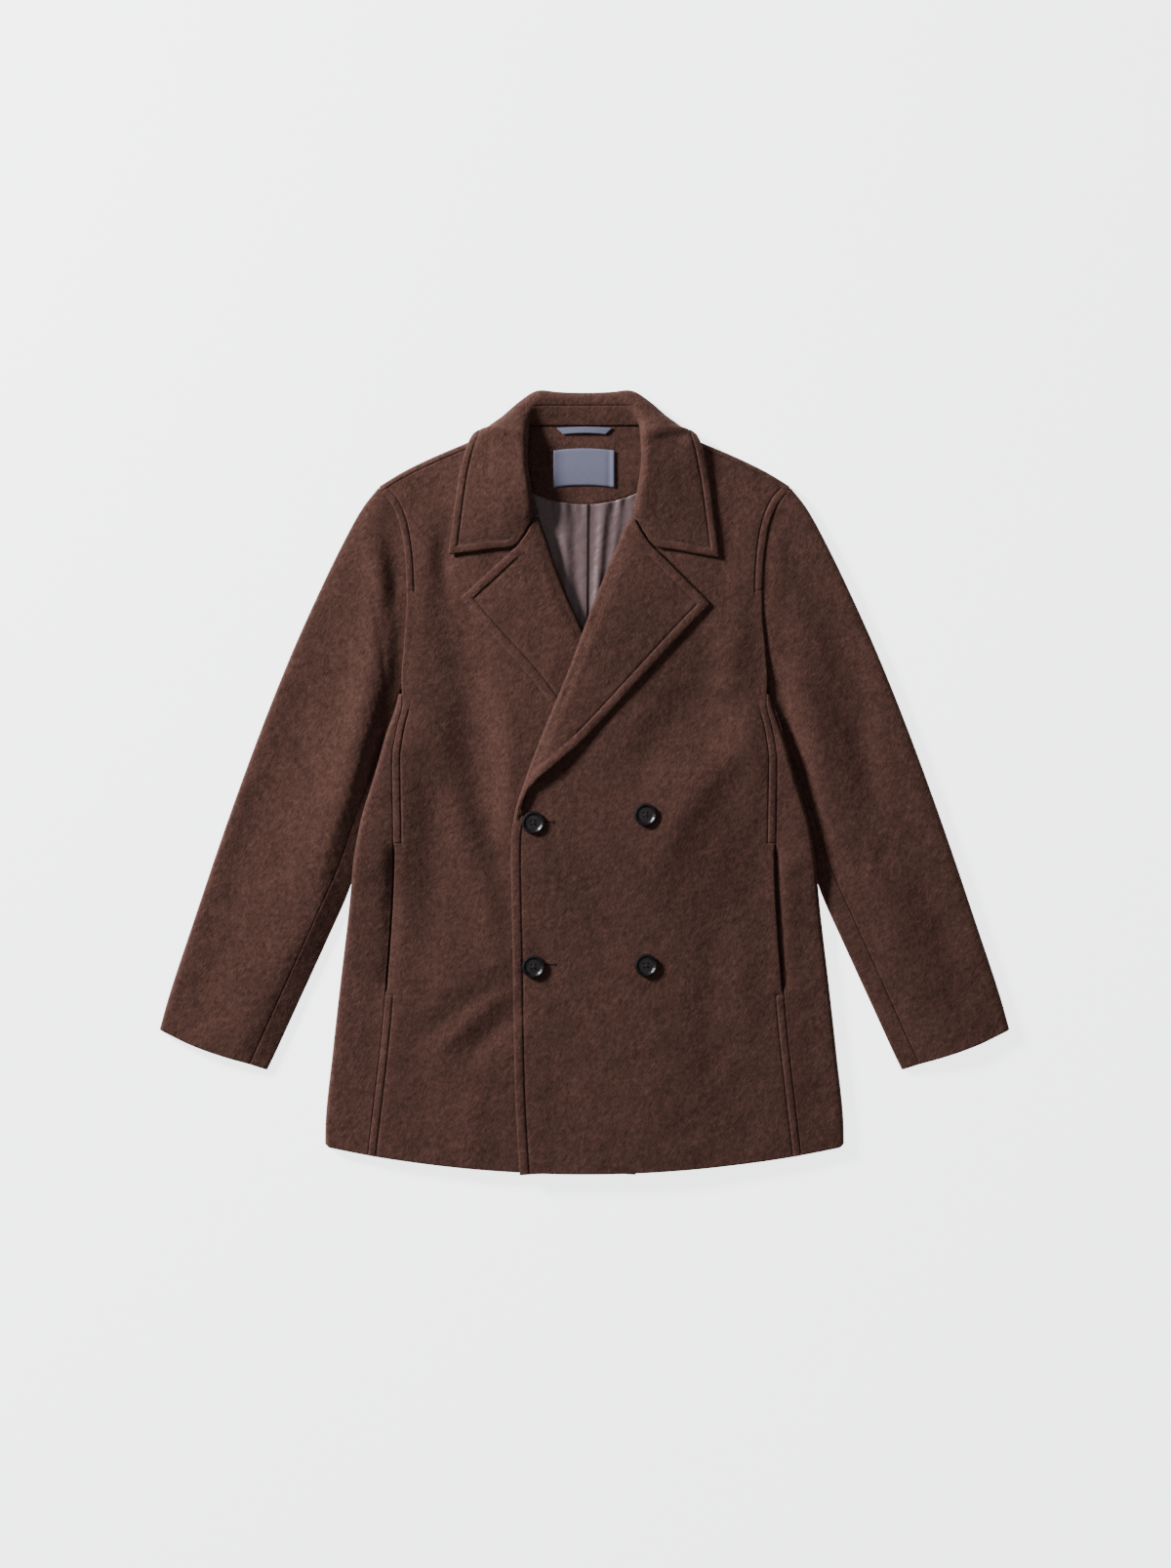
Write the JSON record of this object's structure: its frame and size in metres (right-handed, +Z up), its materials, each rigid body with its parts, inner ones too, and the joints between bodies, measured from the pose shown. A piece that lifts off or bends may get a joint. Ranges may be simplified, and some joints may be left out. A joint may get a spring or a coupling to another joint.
{
  "type": "pea coat laid flat",
  "caption": "Double-breasted wool pea coat, buttoned and laid flat on its back, with notched lapels, a turned-down collar, side-seam pockets and two-piece sleeves.",
  "frame": {"origin": "under the middle of the coat, on the surface that it lies on", "axes": "+Z up from that surface, +Y from the hem to the collar, +X to the wearer's left"},
  "size_m": [0.933, 0.8606, 0.0292],
  "materials": {
    "wool": "brushed melton wool, matt",
    "lining": "smooth lining, soft sheen",
    "satin": "satin tape",
    "horn": "polished, near black"
  },
  "bodies": {
    "root": {"front_left": "wool", "front_right": "wool", "lapel_left": "wool", "lapel_right": "wool", "collar": "wool", "back": "wool", "side_panel_left": "wool", "side_panel_right": "wool", "top_sleeve_left": "wool", "top_sleeve_right": "wool", "under_sleeve_left": "wool", "under_sleeve_right": "wool", "pocket_facing_left": "wool", "pocket_facing_right": "wool", "back_facing": "wool", "lining": "lining", "label": "satin", "hanger_loop": "satin", "button_upper_left": "horn", "button_upper_right": "horn", "button_lower_left": "horn", "button_lower_right": "horn"}
  },
  "joints": []
}
